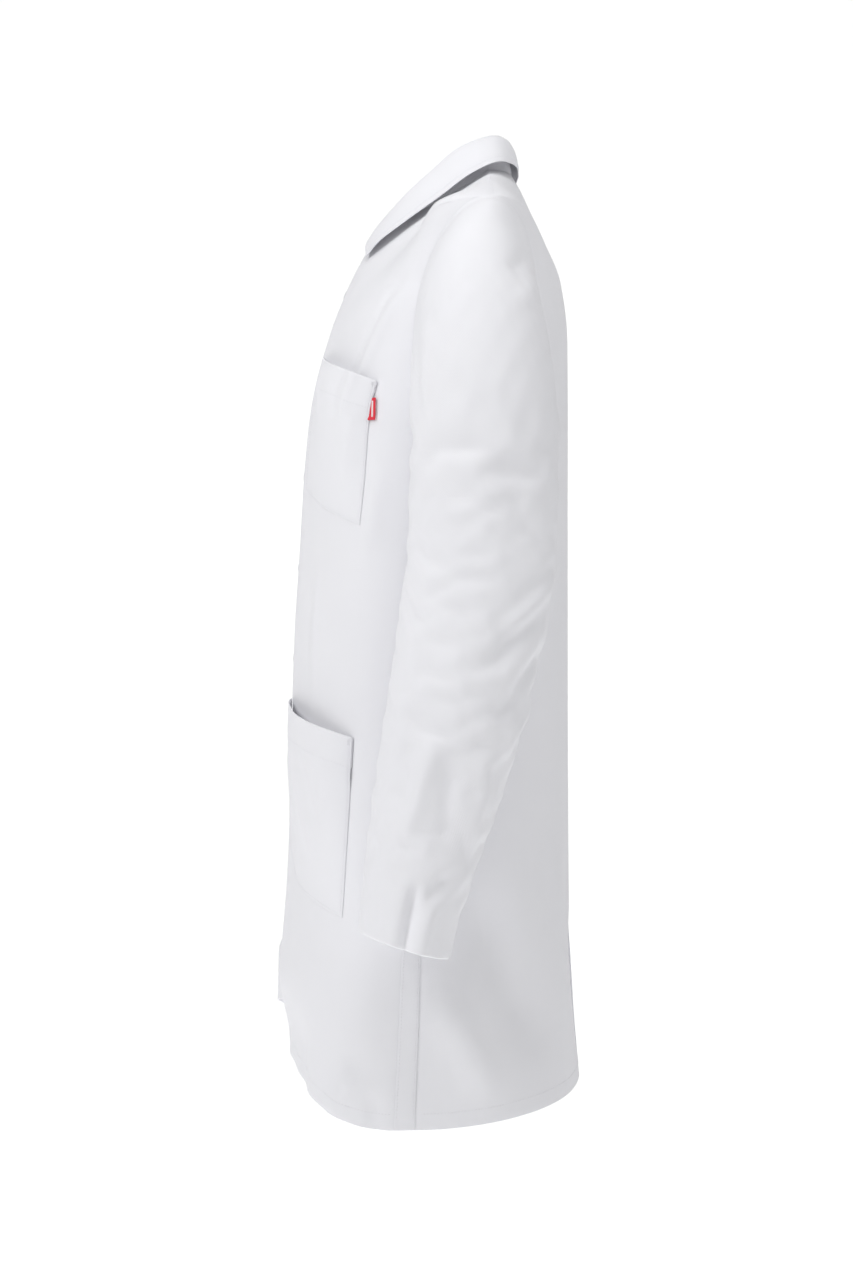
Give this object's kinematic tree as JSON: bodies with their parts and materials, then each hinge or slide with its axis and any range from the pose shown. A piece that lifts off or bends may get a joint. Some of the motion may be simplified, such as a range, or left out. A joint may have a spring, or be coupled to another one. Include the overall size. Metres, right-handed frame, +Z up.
{
  "type": "lab coat",
  "caption": "Knee-length white work coat with turned-down collar, long set-in sleeves, chest pocket, slanted hip pockets, snap front and open back vent.",
  "frame": {"origin": "middle of the neck opening, level with the neck seam at the nape", "axes": "-Y the way the wearer faces, +X the wearer's left, +Z up"},
  "size_m": [0.632, 0.321, 0.9823],
  "materials": {
    "coat_cloth": "matte twill",
    "tape_cloth": "matte tape",
    "tag_cloth": "satin",
    "snap_cap": "satin",
    "snap_metal": "satin"
  },
  "bodies": {
    "torso": {"left_front_panel": "coat_cloth", "right_front_panel": "coat_cloth", "left_back_panel": "coat_cloth", "right_back_panel": "coat_cloth", "left_side_seam": "coat_cloth", "right_side_seam": "coat_cloth", "left_front_facing": "coat_cloth", "right_front_facing": "coat_cloth", "vent_underlap": "coat_cloth", "collar_stand": "coat_cloth", "top_collar": "coat_cloth", "under_collar": "coat_cloth", "chest_pocket": "coat_cloth", "pocket_tag": "tag_cloth", "neck_label": "tape_cloth", "upper_snap_caps": "snap_cap", "upper_snap_sockets": "snap_metal", "upper_snap_studs": "snap_metal", "upper_snap_posts": "snap_metal", "waist_snap_cap": "snap_cap", "waist_snap_socket": "snap_metal", "waist_snap_stud": "snap_metal", "waist_snap_post": "snap_metal"},
    "left_sleeve": {"left_upper_sleeve": "coat_cloth"},
    "left_forearm": {"left_lower_sleeve": "coat_cloth", "left_sleeve_hem": "coat_cloth"},
    "right_sleeve": {"right_upper_sleeve": "coat_cloth"},
    "right_forearm": {"right_lower_sleeve": "coat_cloth", "right_sleeve_hem": "coat_cloth"},
    "left_front": {"left_front_skirt": "coat_cloth", "left_skirt_facing": "coat_cloth", "left_hip_pocket": "coat_cloth", "hip_snap_cap": "snap_cap", "hip_snap_socket": "snap_metal", "lower_snap_caps": "snap_cap", "lower_snap_sockets": "snap_metal"},
    "right_front": {"right_front_skirt": "coat_cloth", "right_skirt_facing": "coat_cloth", "right_hip_pocket": "coat_cloth", "hip_snap_stud": "snap_metal", "hip_snap_post": "snap_metal", "lower_snap_studs": "snap_metal", "lower_snap_posts": "snap_metal"},
    "loop": {"hanger_loop": "tape_cloth"}
  },
  "joints": [
    {"name": "left_shoulder", "type": "hinge", "parent": "torso", "child": "left_sleeve", "pos_m": [0.235, 0.046, -0.105], "axis": [-1, 0, 0], "range_deg": [-20, 45]},
    {"name": "left_elbow", "type": "hinge", "parent": "left_sleeve", "child": "left_forearm", "pos_m": [0.247, 0.037, -0.405], "axis": [-1, 0, 0], "range_deg": [0, 60]},
    {"name": "right_shoulder", "type": "hinge", "parent": "torso", "child": "right_sleeve", "pos_m": [-0.235, 0.046, -0.105], "axis": [-1, 0, 0], "range_deg": [-20, 45]},
    {"name": "right_elbow", "type": "hinge", "parent": "right_sleeve", "child": "right_forearm", "pos_m": [-0.247, 0.037, -0.405], "axis": [-1, 0, 0], "range_deg": [0, 60]},
    {"name": "left_front_opening", "type": "hinge", "parent": "torso", "child": "left_front", "pos_m": [0.2106, -0.0264, -0.687], "axis": [-0.073, 0.0566, 0.9957], "range_deg": [0, 40]},
    {"name": "right_front_opening", "type": "hinge", "parent": "torso", "child": "right_front", "pos_m": [-0.2106, -0.0264, -0.687], "axis": [0.073, 0.0566, 0.9957], "range_deg": [-40, 0]},
    {"name": "hanger_loop_flip", "type": "hinge", "parent": "torso", "child": "loop", "pos_m": [0, 0.0733, -0.007], "axis": [-1, 0, 0], "range_deg": [0, 105]}
  ],
  "couplings": [
    {"joint": "right_front_opening", "follows": "left_front_opening", "ratio": -1}
  ]
}
